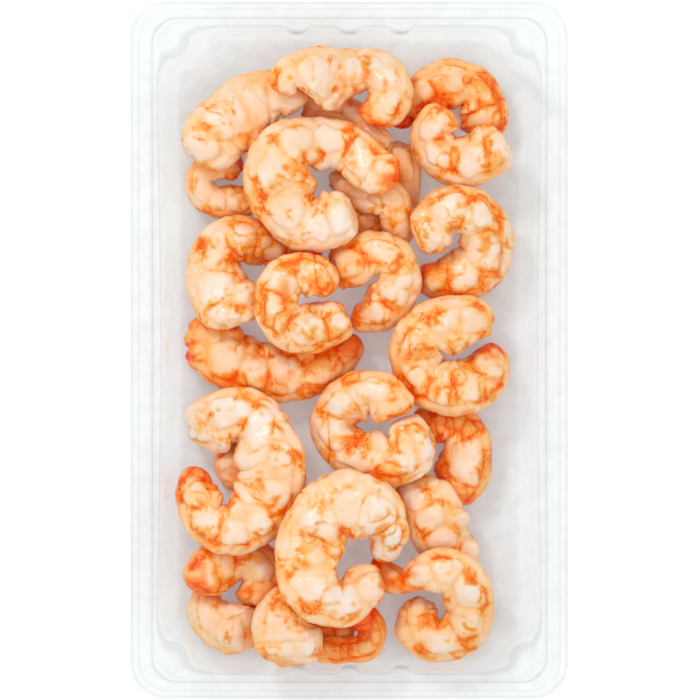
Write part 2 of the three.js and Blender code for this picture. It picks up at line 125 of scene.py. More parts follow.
# The shrimp from the bottom of the heap to its top, as on the part: name, finish, how heavily it is
# marked with orange, how much redder (more than 0) or paler (less) its head end and its tail end are, and
# the path along the middle of the body from its head end, as x, y and the half height of the body there.
SHRIMP = [
    ("small_left", "orange", 0.1, (0, 0.4),
     [(-20, -33.5, 5), (-27.5, -35, 6), (-35, -37, 6.5), (-41, -38.5, 6), (-45, -39.5, 3.5)]),
    ("middle_floor", "orange", 0.1, (0.2, 0.2),
     [(-3.5, 38.5, 3.5), (2, 41, 4.5), (7.5, 44, 4.5), (13.5, 46, 3.5)]),
    ("bottom_under", "orange", 0.1, (0, 0.2),
     [(-14.5, -93.5, 3.5), (-9, -93.5, 4), (-3, -93, 4), (2, -93, 3)]),
    ("left_under", "pale", 0.5, (0.4, 0.1),
     [(-35.8, 60.5, 6), (-42.3, 61.5, 6.5), (-48.3, 56.5, 6.5), (-44.8, 50.5, 6.5), (-35.8, 50, 6),
      (-28.3, 51, 5)]),
    ("centre_upright", "orange", 0.1, (0, 0),
     [(16.5, 69, 4), (17, 65.5, 5), (18.5, 60.5, 5), (19, 55.5, 4.5), (18.5, 51, 4.5), (18, 46, 3.5)]),
    ("top_under", "pale", 0.1, (-0.2, 0.3),
     [(-15.5, 81.5, 3.5), (-8, 81, 4.5), (-1.5, 80, 4.5), (4.5, 75.5, 4.5), (10, 71, 3.5),
      (14, 70.5, 2.5)]),
    ("long_left", "orange", 0.6, (0.6, 0.7),
     [(-54.5, 0.5, 5), (-47.5, 0, 8.5), (-39.5, -5, 8.5), (-29.5, -8.5, 8), (-19.5, -9.5, 7.5),
      (-9.5, -7, 7), (-2, -2, 5.5), (3, 4.5, 3.5)]),
    ("top_left", "pale", 0.15, (-0.4, 0.4),
     [(-53.7, 65.9, 5.5), (-48.7, 69.4, 8.5), (-43.2, 74.9, 9.5), (-36.7, 78.9, 10.5),
      (-29.7, 82.4, 10.5), (-22.7, 83.9, 9), (-18.2, 81.9, 6.5), (-16.2, 79.9, 3.5)]),
    ("top_right_arch", "orange", 0.7, (0, 0.8),
     [(46, 71.5, 6), (45.5, 80, 7), (42.5, 86.5, 7), (35.5, 89.5, 7.5), (28, 88, 7), (21.5, 83.5, 6),
      (17.5, 79, 5), (17, 73.5, 3)]),
    ("top_right_ring", "pale", 0.35, (-0.4, 0.4),
     [(53, 68, 5.5), (46, 65, 8.5), (38, 63.5, 9.5), (31.5, 66, 9.5), (29, 71.5, 9), (31, 76.5, 8),
      (33.5, 79.5, 5.5)]),
    ("centre_under", "orange", 0.15, (-0.2, 0.1),
     [(-5.5, 53.5, 4.5), (0, 55.5, 5.5), (8, 53, 5.5), (14.5, 50, 5.5), (17, 45, 5), (17, 39.5, 4.5),
      (16, 35, 3)]),
    ("right_lower", "orange", 0.6, (0.5, 0.4),
     [(33.5, -50, 5), (37, -45, 7.5), (39.5, -38, 8), (39.5, -31, 8), (36, -25.5, 7.5),
      (30.5, -23.5, 6.5), (24.5, -23.5, 5), (20.5, -23.5, 3)]),
    ("bottom_red", "red", 0.8, (0.6, -0.6),
     [(-1.5, -88, 4.5), (3.5, -88.5, 5.5), (7, -93, 5.5), (5, -98, 5), (-1, -100, 4), (-7.5, -100, 3.5),
      (-12, -100.5, 3)]),
    ("bottom_left_fan", "pale", 0.15, (0, 0),
     [(-37.5, -100.5, 4), (-39, -95.5, 7.5), (-42.5, -90.5, 9), (-45.5, -86.5, 8.5), (-46, -82.5, 6.5),
      (-44.5, -79.5, 4)]),
    ("bottom_left_ring", "orange", 0.6, (0.3, 0.6),
     [(-31, -85.5, 6), (-29.5, -80, 8.5), (-30, -74.5, 9), (-33.5, -71, 9), (-39, -70.5, 8.5),
      (-45, -72, 8), (-49.5, -76, 6.5), (-52, -80, 4.5)]),
    ("bottom_left_white", "pale", 0.2, (0, 0.6),
     [(-22.5, -104, 7.5), (-22, -98.5, 9.5), (-23, -93, 9.5), (-22.5, -88, 8.5), (-20, -83, 7),
      (-17.5, -78, 4.5)]),
    ("lower_right_white", "pale", 0.25, (-0.4, 0.3),
     [(43, -69, 5), (37.5, -68.5, 6), (32, -65.5, 7.5), (28, -59, 8.5), (25, -52, 8), (20.5, -46.5, 6),
      (17.5, -42.5, 3.5)]),
    ("bottom_right", "pale", 0.5, (0, 1),
     [(22.7, -81.8, 6.5), (22.3, -87, 8), (24.5, -92, 9), (29.5, -95, 9), (35.5, -93, 9),
      (39, -88.5, 9), (39, -81.5, 9), (35.5, -75.5, 8.5), (29.5, -73.5, 8), (23.5, -75, 7),
      (17.5, -77, 6), (12, -73.5, 3.5), (9.5, -68, 2.5)]),
    ("right_upper", "pale", 0.6, (-0.1, 0.8),
     [(26.5, 31.3, 5.5), (26.8, 36, 7.5), (29, 41.5, 9), (33.5, 45, 9.5), (40, 44, 9.5), (44, 38.5, 10),
      (43.7, 31, 10), (38.7, 26, 9.5), (32.7, 24.5, 9), (27.5, 25, 7.5), (23.5, 27.5, 5)]),
    ("centre_ring", "pale", 0.4, (0.6, 0.4),
     [(-6, 28, 5), (-1.5, 29, 7.5), (6.5, 30.5, 8.5), (13, 29, 9), (15.5, 23, 8.5), (13.5, 17, 8.5),
      (9, 13.5, 8), (4.5, 12.5, 6.5), (1.5, 14, 4.5)]),
    ("left_middle", "pale", 0.45, (-0.3, 0.9),
     [(-40, 7.5, 6.5), (-41.5, 14, 9.5), (-44.5, 21, 9.5), (-44.5, 28, 9.5), (-42, 34, 8.5),
      (-36.5, 37, 8), (-31, 36.5, 6.5), (-25.5, 34.5, 5), (-20, 33, 4.5), (-14, 32.5, 4),
      (-9, 31.5, 2.5)]),
    ("right_middle", "orange", 0.5, (-0.2, 0.7),
     [(47.5, 7.3, 5.5), (40.8, 8.3, 8.8), (33.1, 8.5, 9), (25.1, 5.5, 9), (22.1, -1.5, 9),
      (24.6, -9, 9), (31.6, -13, 8.5), (39.1, -12.5, 8.5), (44.1, -8.5, 8.5), (46.4, -3, 7.5),
      (48.2, 2.3, 5)]),
    ("left_large", "pale", 0.55, (-0.7, 0.7),
     [(-53.5, -25.5, 5), (-47.5, -23.5, 8), (-39.5, -21.5, 9), (-32.5, -23, 9.5), (-27, -30.5, 9.5),
      (-24, -39.5, 9.5), (-26, -49, 10), (-32.5, -56.5, 9.5), (-40, -59.5, 8.5), (-47, -57, 7.5),
      (-50.5, -50.5, 6.5), (-51.5, -44, 5.5), (-49.5, -39, 3)]),
    ("top_centre", "pale", 0.45, (0.1, 0.8),
     [(-21.5, 84.5, 4), (-19.5, 90, 7), (-13, 91.5, 9), (-6, 91.5, 8.5), (1, 91, 8.5), (8, 90.5, 9.5),
      (11.5, 86, 9.5), (10.5, 79.5, 8), (8.5, 74, 5.5)]),
    ("centre_lower", "pale", 0.5, (0, 0.5),
     [(27.5, -29, 7), (22.5, -31, 9.5), (14.5, -36, 9), (6.5, -35, 8.5), (0.5, -33, 8.5),
      (-4, -25.5, 9), (-1, -18, 8.5), (6, -14, 7.5), (13, -16, 7.5), (17.5, -18, 5), (20.5, -20, 2.5)]),
    ("upper_left_large", "pale", 0.35, (-0.4, 1),
     [(2, 45, 5.5), (-7, 42, 9), (-15.5, 43, 10), (-21, 49, 11), (-23, 57, 12.5), (-21.5, 64, 11.5),
      (-16.5, 68.5, 9), (-9.5, 69.5, 7.5), (-2.5, 69, 7), (2.5, 66.5, 6.5), (7, 62, 6.5), (12, 59, 6),
      (16.5, 56.5, 4)]),
    ("centre_left_ring", "pale", 0.7, (0.1, 0.3),
     [(-1, 12.3, 6), (-6.5, 8.8, 8), (-13.5, 7, 8.5), (-20.5, 9, 8), (-24, 15, 7.5), (-22.5, 21.5, 7.5),
      (-17.5, 25, 7.5), (-11.8, 24.2, 7.5), (-8.3, 21, 6.5), (-7, 17.8, 4.5)]),
    ("bottom_centre_large", "pale", 0.45, (0.3, -0.6),
     [(11.5, -79, 5), (5.5, -79.5, 6.5), (-2, -83, 8.5), (-8.5, -81.5, 9.5), (-13.5, -75, 10),
      (-14.5, -67, 10), (-12, -59.5, 10), (-6.5, -53.5, 11), (0.5, -51.5, 11.5), (8, -54, 10.5),
      (12.5, -59.5, 8), (13, -65.5, 5), (14.5, -70, 2.5)]),
]

# Lobes of the flesh: the edge of the smooth band along the back and the edge of the belly's knobs, as
# shares of the way round from back to belly, the heights of the band, of the pillows between and of the
# knobs, how low the seams lie, how deep a wrinkle is, how near the tray no lobe rises, and how far the
# ragged edge of a head end reaches into the body.
BAND_EDGE = 0.27
KNOB_EDGE = 0.66
BAND_HEIGHT = 0.7
PILLOW_HEIGHT = 1.15
KNOB_HEIGHT = 1.25
LOWEST = -0.55
WRINKLE_DEPTH = 0.22
TRAY_MARGIN = 1
TORN_REACH = 2

# Linear colours of the flesh from the deepest gap to the palest crest, which paint orange shade into
# gaps and undersides and pale light onto crests as well as giving the flesh its own tone, the paleness
# they stand at, how pale each finish is on the whole, and how far a redder or paler end reaches along
# the body.
PALENESS = (0, 0.15, 0.35, 0.55, 0.75, 0.9, 1)
FLESH_RAMP = np.array([
    (0.94, 0.15, 0.004),
    (0.95, 0.29, 0.030),
    (0.94, 0.42, 0.100),
    (0.92, 0.53, 0.230),
    (0.89, 0.62, 0.410),
    (0.86, 0.69, 0.570),
    (0.83, 0.74, 0.660),
])
FINISH_PALENESS = {"pale": 0.82, "orange": 0.72, "red": 0.5}
END_REACH = 8

# What is left of each linear colour where the flesh is stained: golden patches, thin lines, dark specks
# and the red of tails, which is also painted shade in deep contacts.
GOLD = (1, 0.60, 0.16)
LINE = (0.93, 0.38, 0.04)
SPECK = (0.66, 0.20, 0.02)
RED = (0.98, 0.24, 0.04)

# Wet flesh: its shader's values, how far light of each colour spreads inside it, and the lumps of its
# veins, its specks and its fine relief.
FLESH_SHINE = {
    "Roughness": 0.4,
    "Specular IOR Level": 0.1,
    "Subsurface Weight": 0.4,
    "Coat Weight": 0.4,
    "Coat Roughness": 0.12,
}
SCATTER_SHARES = (1.0, 0.4, 0.2)
SCATTER_REACH = 1.2
VEIN_LUMP = 4.5
SPECK_LUMP = 0.45
RELIEF_LUMP = 0.9
RELIEF_DEPTH = 0.3

# Clear sheet: how much light each face lets through, what painted shade at a sharp bend takes of that
# in place of the dark lines refraction draws there, what the mottle leaves of it, the mottle's lumps, and
# how glossy the sheet is.
CLARITY = 0.96
BEND_SHADE = 0.1
MOTTLE = (0.98, 0.98, 0.98)
MOTTLE_LUMP = 5
SHEET_GLOSS = 0.35

# Stage, in metres: the floor's half size, how far it lies below the tray, its colour and its own faint
# light, the sky's strength, and the place, size and power of each lamp.
FLOOR_HALF = 1.2
FLOOR_DROP = 0.0002
FLOOR_COLOUR = (0.70, 0.755, 0.76, 1)
FLOOR_GLOW = 0.25
SKY_STRENGTH = 0.95
LAMPS = {
    "window": ((-0.45, 0.7, 0.9), 0.18, 3.6),
    "fill": ((0.6, -0.4, 1.0), 0.8, 1.4),
}

# Camera: straight above but for a small step to the right, far off, with the tray's length filling the
# frame at the height of its rim.
CAMERA_DISTANCE = 4000
CAMERA_SIDESTEP = 0.25
FRAME_WIDTH = 230.8
RIM_HEIGHT = 40
SENSOR = 36

# Large odd numbers that scramble the noise's cells and seeds.
CELL_FACTORS = np.array([73856093, 19349663, 83492791])
SEED_FACTOR = 2654435761
SCRAMBLE_FACTOR = 1274126177


# Small helpers

def smoothstep(low, high, value):
    """0 up to low, 1 from high, and smooth between."""
    t = np.clip((value - low) / (high - low), 0, 1)
    return t * t * (3 - 2 * t)


def bump(distance, width):
    """1 on a line, falling to 0 a few widths from it."""
    return np.exp(-((distance / width) ** 2))


def lattice_value(cells, seed):
    """A fixed random value from -1 to 1 for each whole-number cell."""
    mixed = np.bitwise_xor.reduce(cells * CELL_FACTORS, axis=-1) ^ (seed * SEED_FACTOR)
    mixed = (mixed ^ (mixed >> 13)) * SCRAMBLE_FACTOR
    mixed = (mixed ^ (mixed >> 16)) & 0xFFFF
    return mixed / 32767.5 - 1


def noise(points, lump, seed):
    """Smooth noise from -1 to 1, in lumps about this many millimetres across."""
    scaled = points / lump
    base = np.floor(scaled).astype(np.int64)
    part = scaled - base
    part = part * part * (3 - 2 * part)
    total = np.zeros(points.shape[:-1])
    for corner in np.ndindex(2, 2, 2):
        weight = np.prod(np.where(corner, part, 1 - part), axis=-1)
        total += weight * lattice_value(base + np.array(corner), seed)
    return total


def on_line(values):
    """Places along one axis, for noise that changes along it alone."""
    return np.stack([values, values * 0, values * 0], axis=-1)


def mesh_object(name, rings):
    """A closed mesh object from rings of points, with both ends filled."""
    count, around_ring = rings.shape[:2]
    index = np.arange(count * around_ring).reshape(count, around_ring)
    here, there = index[:-1], index[1:]
    sides = np.stack([here, np.roll(here, -1, axis=1), np.roll(there, -1, axis=1), there], axis=-1)
    first, last = index.size, index.size + 1
    ends = [(first, b, a) for a, b in zip(index[0], np.roll(index[0], -1))]
    ends += [(last, a, b) for a, b in zip(index[-1], np.roll(index[-1], -1))]
    points = np.concatenate([rings.reshape(-1, 3), [rings[0].mean(axis=0), rings[-1].mean(axis=0)]])
    mesh = bpy.data.meshes.new(name)
    mesh.from_pydata((points * MM).tolist(), [], sides.reshape(-1, 4).tolist() + ends)
    mesh.update()
    mesh.shade_smooth()
    obj = bpy.data.objects.new(name, mesh)
    bpy.context.scene.collection.objects.link(obj)
    return obj


def paint(obj, name, values):
    """Stores a colour and an alpha for each point of an object made from rings."""
    values = np.concatenate([values.reshape(-1, 4), [values[0].mean(axis=0), values[-1].mean(axis=0)]])
    layer = obj.data.color_attributes.new(name, "FLOAT_COLOR", "POINT")
    layer.data.foreach_set("color", values.astype(np.float32).ravel())


# Tray

def outline(inset_x, inset_y, corner, pillar, lug, waist):
    """The tray's outline in plan for one station, counter-clockwise."""
    half_x = TRAY_HALF_WIDTH - inset_x
    half_y = TRAY_HALF_LENGTH - inset_y
    steps = np.linspace(0, 90, CORNER_POINTS)
    off = np.clip(np.abs(steps - 45) / PILLAR_HALF_ANGLE, 0, 1)
    reach = corner - pillar * PILLAR_DEPTH * np.cos(off * math.pi / 2) ** 0.8
    across = np.linspace(-LUG_HALF_WIDTH, LUG_HALF_WIDTH, LUG_POINTS)
    push = lug * LUG_DEPTH * np.cos(np.clip(np.abs(across) / LUG_HALF_WIDTH, 0, 1) * math.pi / 2) ** 0.8
    along = np.linspace(-SIDE_RUN, SIDE_RUN, SIDE_POINTS)
    draw_in = waist * WAIST_DEPTH * np.clip(1 - (along / WAIST_REACH) ** 2, 0, 1)
    parts = []

    def add_corner(sx, sy, start):
        angle = np.radians(start + steps)
        parts.append(np.stack([sx * (half_x - corner) + reach * np.cos(angle),
                               sy * (half_y - corner) + reach * np.sin(angle)], axis=-1))

    def add_end(sy):
        for centre in (LUG_PITCH, 0, -LUG_PITCH):
            parts.append(np.stack([sy * (centre - across), sy * (half_y - push)], axis=-1))

    def add_side(sx):
        parts.append(np.stack([sx * (half_x - draw_in), sx * along], axis=-1))

    add_corner(1, 1, 0)
    add_end(1)
    add_corner(-1, 1, 90)
    add_side(-1)
    add_corner(-1, -1, 180)
    add_end(-1)
    add_corner(1, -1, 270)
    add_side(1)
    return np.concatenate(parts)


def rounded_stations():
    """The stations with their bends rounded off, by cutting each corner of the profile twice."""
    rows = TRAY_STATIONS
    for _ in range(2):
        a, b = rows[:-1], rows[1:]
        cut = np.empty((2 * len(a), rows.shape[1]))
        cut[0::2] = a * 0.75 + b * 0.25
        cut[1::2] = a * 0.25 + b * 0.75
        rows = np.concatenate([TRAY_STATIONS[:1], cut, TRAY_STATIONS[-1:]])
    return rows


def tray_rings():
    """The tray's rings, out to the lip below and back in above, and how much light each ring lets
    through, with painted shade at sharp bends.
    """
    rows = rounded_stations()
    run = np.gradient(rows[:, 0])
    rise = np.gradient(rows[:, 2])
    length = np.hypot(run, rise)
    inward, down = rise / length, -run / length
    inward[-1], down[-1] = 0, -1
    upper, under = [], []
    for row, aside, drop in zip(rows, inward * SHEET, down * SHEET):
        inset_x, inset_y, z, *shape = row
        top = outline(inset_x, inset_y, *shape)
        low = outline(inset_x + aside, inset_y + aside, *shape)
        upper.append(np.column_stack([top, np.full(len(top), z)]))
        under.append(np.column_stack([low, np.full(len(low), z + drop)]))
    slope = np.unwrap(np.arctan2(rise, run))
    bend = np.abs(np.gradient(slope)) / length
    # Painted shade at sharp bends, standing in for the dark lines that refraction draws there.
    clear_and_bend_shade = CLARITY * (1 - BEND_SHADE * smoothstep(0.2, 1.2, bend))
    return np.array(under[::-1] + upper), np.concatenate([clear_and_bend_shade[::-1], clear_and_bend_shade])


def tray_floor(x, y):
    """Height of the tray's inner face at a place in plan: base, fillet, then drafted wall."""
    base, foot, brim = TRAY_STATIONS[-1], TRAY_STATIONS[-3], TRAY_STATIONS[-5]
    half_x = TRAY_HALF_WIDTH - foot[0] - WAIST_DEPTH - foot[3]
    half_y = TRAY_HALF_LENGTH - foot[1] - foot[3]
    out_x, out_y = np.abs(x) - half_x, np.abs(y) - half_y
    outside = np.hypot(np.maximum(out_x, 0), np.maximum(out_y, 0))
    beyond = outside + np.minimum(np.maximum(out_x, out_y), 0) - foot[3]
    steepest = (brim[2] - foot[2]) / (foot[1] - brim[1])
    fillet = base[0] - foot[0]
    wall = np.minimum(foot[2] + beyond * steepest, brim[2])
    low = base[2] + (foot[2] - base[2]) * np.maximum(0, 1 + beyond / fillet) ** 2
    return np.where(beyond > 0, wall, low)


# The heap: the same middle lines, trims and heights as the part

def curve_at(path, t):
    """A point of the uniform Catmull-Rom curve through the path, t from 0 to 1."""
    points = np.array(path, float)
    ends = np.concatenate([[2 * points[0] - points[1]], points, [2 * points[-1] - points[-2]]])
    f = np.clip(np.asarray(t, float), 0, 1) * (len(points) - 1)
    i = np.minimum(f.astype(int), len(points) - 2)
    w = (f - i)[:, None]
    p0, p1, p2, p3 = ends[i], ends[i + 1], ends[i + 2], ends[i + 3]
    v0, v1 = (p2 - p0) / 2, (p3 - p1) / 2
    return (2 * p1 - 2 * p2 + v0 + v1) * w**3 + (-3 * p1 + 3 * p2 - 2 * v0 - v1) * w**2 + v0 * w + p1


def turning(tangents):
    """More than 0 where a line turns to its left on the whole."""
    return np.sum(tangents[:-1, 0] * tangents[1:, 1] - tangents[:-1, 1] * tangents[1:, 0])


def middle_line(path, spacing):
    """Points, unit tangents and half heights along the middle, which lies a little inside the path."""
    t = np.linspace(0, 1, 401)
    dense = curve_at(path, t)
    run = np.concatenate([[0], np.cumsum(np.linalg.norm(np.diff(dense, axis=0), axis=1))])
    steps = max(round(run[-1] / spacing), 2)
    at = np.interp(np.linspace(0, run[-1], steps + 1), run, t)
    small = 0.0001
    tangent = curve_at(path, np.minimum(at + small, 1)) - curve_at(path, np.maximum(at - small, 0))
    tangent = tangent[:, :2] / np.linalg.norm(tangent[:, :2], axis=1)[:, None]
    places = curve_at(path, at)
    shift = BELLY_SHIFT * places[:, 2]
    across = np.sign(turning(tangent)) * np.stack([-tangent[:, 1], tangent[:, 0]], axis=-1)
    return places[:, :2] + across * shift[:, None], tangent, places[:, 2] + shift


def around(values, reach, combine):
    """Each value combined with those up to so many places before and after it."""
    return np.array([combine(values[max(0, i - reach):i + reach + 1]) for i in range(len(values))])


def eased(values, reach):
    """The least value around each place, smoothed."""
    return around(around(values, reach, np.min), reach, np.mean)


def trim_to_curl(points, tangents, half):
    """Half heights left and right of the line, trimmed so that a tight curl doesn't run into itself."""
    count = len(points)
    left, right = np.ones(count), np.ones(count)
    belly = left if turning(tangents) > 0 else right
    belly[:] = BELLY_FULLNESS
    across = np.stack([-tangents[:, 1], tangents[:, 0]], axis=-1)
    for i in range(count):
        for j in range(count):
            if abs(i - j) < NEIGHBOURS:
                continue
            apart = points[j] - points[i]
            distance = np.linalg.norm(apart)
            if abs(i - j) < ONE_BEND * (half[i] + half[j]):
                meeting = distance ** 2 / (2 * max(abs(apart @ across[i]), 0.001))
                share = TIGHTEST * meeting / half[i]
            else:
                reach = sum(half[k] * max(abs(apart @ across[k]) / distance, END_ON) for k in (i, j))
                share = (distance - CLEARANCE) / reach
            side = left if apart @ across[i] > 0 else right
            side[i] = min(side[i], share)
    return eased(left, 2) * half, eased(right, 2) * half


class HeightMap:
    """The highest thing laid so far, over the tray."""

    def __init__(self):
        self.columns = round(2 * TRAY_HALF_WIDTH / CELL)
        self.rows = round(2 * TRAY_HALF_LENGTH / CELL)
        x = (np.arange(self.columns) + 0.5) * CELL - TRAY_HALF_WIDTH
        y = (np.arange(self.rows) + 0.5) * CELL - TRAY_HALF_LENGTH
        self.cells = tray_floor(*np.meshgrid(x, y))

    def cell(self, places):
        column = np.clip(np.floor((places[..., 0] + TRAY_HALF_WIDTH) / CELL), 0, self.columns - 1)
        row = np.clip(np.floor((places[..., 1] + TRAY_HALF_LENGTH) / CELL), 0, self.rows - 1)
        return row.astype(int), column.astype(int)

    def height(self, places):
        return self.cells[self.cell(places)]

    def lay(self, places, tops):
        np.maximum.at(self.cells, self.cell(places), tops)

    def share_above(self, places):
        """The share of the heap's surface within a few millimetres that rises above each place."""
        reach = round(SHADE_REACH / CELL)
        total = np.zeros(places.shape[:-1])
        steps = range(-reach, reach + 1, 2)
        for across in steps:
            for along in steps:
                rise = self.height(places + np.array([across * CELL, along * CELL, 0])) - places[..., 2]
                total += smoothstep(*SHADE_RISE, rise)
        return total / len(steps) ** 2


def across_body(point, tangent, left, right, thickness):
    """Places across a body at one station and how thick it is at each."""
    steps = math.ceil((left + right) / (CELL * 0.6))
    d = np.linspace(-right, left, steps + 1)
    share = np.where(d > 0, d / left, d / right)
    half = thickness * np.sqrt(np.maximum(0, 1 - share * share))
    return point + d[:, None] * np.array([-tangent[1], tangent[0]]), half


def between(values, i, part):
    """The value part of the way from one place to the next."""
    return values[i] * (1 - part) + values[i + 1] * part


def settle(heap, path):
    """Lays a body on the heap: its stations, half heights, middle heights and half thicknesses."""
    points, tangents, half_height = middle_line(path, 1)
    left, right = trim_to_curl(points, tangents, half_height)
    count = len(points)
    thickness = THICKNESS_RATIO * half_height / (1 + half_height / DEEP_BODY)
    need = np.zeros(count)
    for i in range(count):
        places, half = across_body(points[i], tangents[i], left[i], right[i], thickness[i])
        need[i] = np.max(heap.height(places) + half) + CLEARANCE
    station = np.arange(count)
    draped = np.max(need[None, :] - STEEPEST * np.abs(station[:, None] - station[None, :]), axis=1)
    smooth = around(draped, 5, np.mean)
    level = smooth + max(0, np.max(need - smooth))
    for i in range(count - 1):
        for part in (0, 0.5):
            point, ahead, out_left, out_right, middle, thick = (
                between(values, i, part) for values in (points, tangents, left, right, level, thickness))
            places, half = across_body(point, ahead / np.linalg.norm(ahead), out_left, out_right, thick)
            heap.lay(places, middle + half)
    return points, tangents, half_height, left, right, level, thickness


# One shrimp's fine body

def ease_line(values, reach):
    """A moving mean that keeps the ends."""
    padded = np.pad(values, reach, mode="edge")
    return np.convolve(padded, np.ones(2 * reach + 1) / (2 * reach + 1), mode="valid")


def end_fullness(distance, reach):
    """How full a body is near its rounded end."""
    return np.sqrt(np.clip(1 - (1 - np.minimum(distance / reach, 1)) ** 2, 0.01, 1))


def body_rings(path, laid):
    """The smooth body's rings, each point's outward direction and share of the way from back to belly."""
    points, tangents, half_height, left, right, level, thickness = laid
    line, ahead, _ = middle_line(path, RING_SPACING)
    share = np.linspace(0, 1, len(line))
    coarse = np.linspace(0, 1, len(points))
    reach = round(1.5 / RING_SPACING)
    left, right, level, thickness = (
        ease_line(np.interp(share, coarse, values), reach) for values in (left, right, level, thickness))
    length = (len(line) - 1) * RING_SPACING
    full = end_fullness(share * length, HEAD_ROUNDING * half_height[0])
    full = full * end_fullness((1 - share) * length, TAIL_ROUNDING * half_height[-1])

    angle = np.linspace(0, 2 * math.pi, RING_POINTS, endpoint=False)
    side, up = np.cos(angle), np.sin(angle)
    out = np.sign(side) * np.abs(side) ** SECTION_POWER
    half = np.where(side > 0, left[:, None], right[:, None])
    normal = np.stack([-ahead[:, 1], ahead[:, 0]], axis=-1)
    flat = line[:, None] + normal[:, None] * (full[:, None] * out * half)[..., None]
    z = level[:, None] + (full * thickness)[:, None] * up
    skin = np.concatenate([flat, z[..., None]], axis=-1)
    outward = np.concatenate([normal[:, None] * side[None, :, None],
                              np.broadcast_to(up[:, None], (len(line), RING_POINTS, 1))], axis=-1)
    back = -side if turning(tangents) > 0 else side
    round_share = np.broadcast_to(np.arccos(np.clip(back, -1, 1)) / math.pi, half.shape)
    return skin, outward, ahead, full, half, length, round_share


def dome(share, across=0.5):
    """A lobe's rounded profile, by the shares of the way along and across it."""
    u, v = 2 * np.clip(share, 0, 1) - 1, 2 * np.clip(across, 0, 1) - 1
    return np.clip(1 - np.abs(u) ** 2.6 - np.abs(v) ** 2.6, 0, 1) ** 0.6


def lobes(skin, length, round_share, half, seed):
    """Height of the lobed flesh, and how far each point is from its seams and from its wrinkles."""
    along = np.linspace(0, 1, len(skin))[:, None]
    # Lobes are flatter where a bend crowds the rings and where the body is slight.
    spacing = np.linalg.norm(np.gradient(skin, axis=0), axis=-1) / RING_SPACING
    stretch = np.clip(spacing, 0.12, 1) * np.clip(half / 8, 0.3, 1.1)
    # Segments are uneven, and each knob of the belly lies over the groove between two of them.
    count = max(round(length / SEGMENT_LENGTH), 2)
    wander = noise(skin, 5, seed)
    across = round_share + 0.06 * noise(skin, 4, seed + 1)
    uneven = 0.3 * noise(on_line(along * 4), 1, seed + 2)
    segments = along * count + uneven + 0.15 * across + 0.1 * wander
    number = np.floor(segments).astype(np.int64)
    part = segments - number
    edge = KNOB_EDGE + 0.13 * lattice_value(on_line(number), seed)
    knob_part = (segments + 0.45 + 0.12 * wander) % 1
    segment = length / count

    pillow = dome(part, (across - BAND_EDGE) / (edge - BAND_EDGE))
    knob = dome(knob_part, (across - edge) / (1.3 - edge))
    band = dome((across + BAND_EDGE) / (2 * BAND_EDGE)) * (0.85 + 0.15 * dome(part))
    height = stretch * (PILLOW_HEIGHT * pillow + KNOB_HEIGHT * knob) + BAND_HEIGHT * band + LOWEST
    wrinkle = np.abs(noise(skin, 4.5, seed + 13)) * 2.5
    rough = 0.35 * noise(skin, 3.2, seed + 4) + 0.1 * noise(skin, 1.3, seed + 5)
    height += 0.6 * noise(skin, 8, seed + 3) + stretch * (rough - WRINKLE_DEPTH * bump(wrinkle, 0.5))

    # Distances in millimetres to the lines that part the band, the pillows and the knobs.
    groove = np.minimum(part, 1 - part) * segment * spacing
    knob_groove = np.minimum(knob_part, 1 - knob_part) * segment * spacing
    band_line = np.abs(across - BAND_EDGE) * math.pi * half
    edge_line = np.abs(across - edge) * math.pi * half
    by_knobs = np.minimum(knob_groove, edge_line) + 0.3
    by_pillows = np.minimum(groove, edge_line + 0.5)
    seam = np.minimum(np.where(across > edge, by_knobs, by_pillows), band_line)
    seam = np.where(across < BAND_EDGE, band_line, seam)
    return height, seam, wrinkle


def stained(colour, stain, amount):
    """Each point's colour through a stain, by an amount from 0 to 1."""
    return colour * np.array(stain) ** np.clip(amount, 0, 1)[..., None]


def flesh_colours(skin, seam, wrinkle, height, outward, finish, marks, reddened, shade, seed):
    """Each point's linear colour with painted light on crests and painted shade in gaps, and how marked
    it is.
    """
    wide = noise(skin, 10, seed + 6)
    broad = noise(skin, 5, seed + 7)
    middle = noise(skin, 2.4, seed + 8)
    fine = noise(skin, 1.1, seed + 9)
    # Marks come in broad patches, more of them on a heavily marked shrimp and at a redder end.
    heavy = marks - 0.4 + 0.4 * reddened
    here = smoothstep(-0.4, 0.6, broad + 0.3 * middle + heavy)
    halo = bump(seam, 2.2)

    # Crests get painted light; shaded places and undersides get painted shade; redder ends and marked
    # seams are less pale.
    pale = FINISH_PALENESS[finish] + 0.12 * wide + 0.06 * middle + 0.18 * (height - 0.3) - 0.25 * reddened
    pale = pale - 0.45 * shade - 0.25 * smoothstep(0.7, 0, outward[..., 2]) - 0.16 * halo * here
    pale = np.clip(pale, 0, 1)
    colour = np.stack([np.interp(pale, PALENESS, channel) for channel in FLESH_RAMP.T], axis=-1)
    patch = smoothstep(0.1, 0.9, broad + 0.4 * middle + 0.3 * fine + 0.5 * halo + heavy - 0.28)
    colour = stained(colour, GOLD, 0.8 * patch)
    # Red gathers in patches and at redder ends, and as painted shade where the heap rises around a point.
    red = smoothstep(0.5, 1.5, 0.8 * wide + 0.4 * middle + 0.8 * reddened + heavy + 0.5 * shade)
    colour = stained(colour, RED, 0.7 * red)
    lines = np.maximum(bump(seam, 0.4), bump(wrinkle, 0.35))
    broken = smoothstep(-0.4, 0.4, fine + 0.6 * broad + heavy)
    colour = stained(colour, LINE, lines * broken * here)
    marked = here * (0.35 + 0.65 * bump(seam, 3))
    return colour, marked


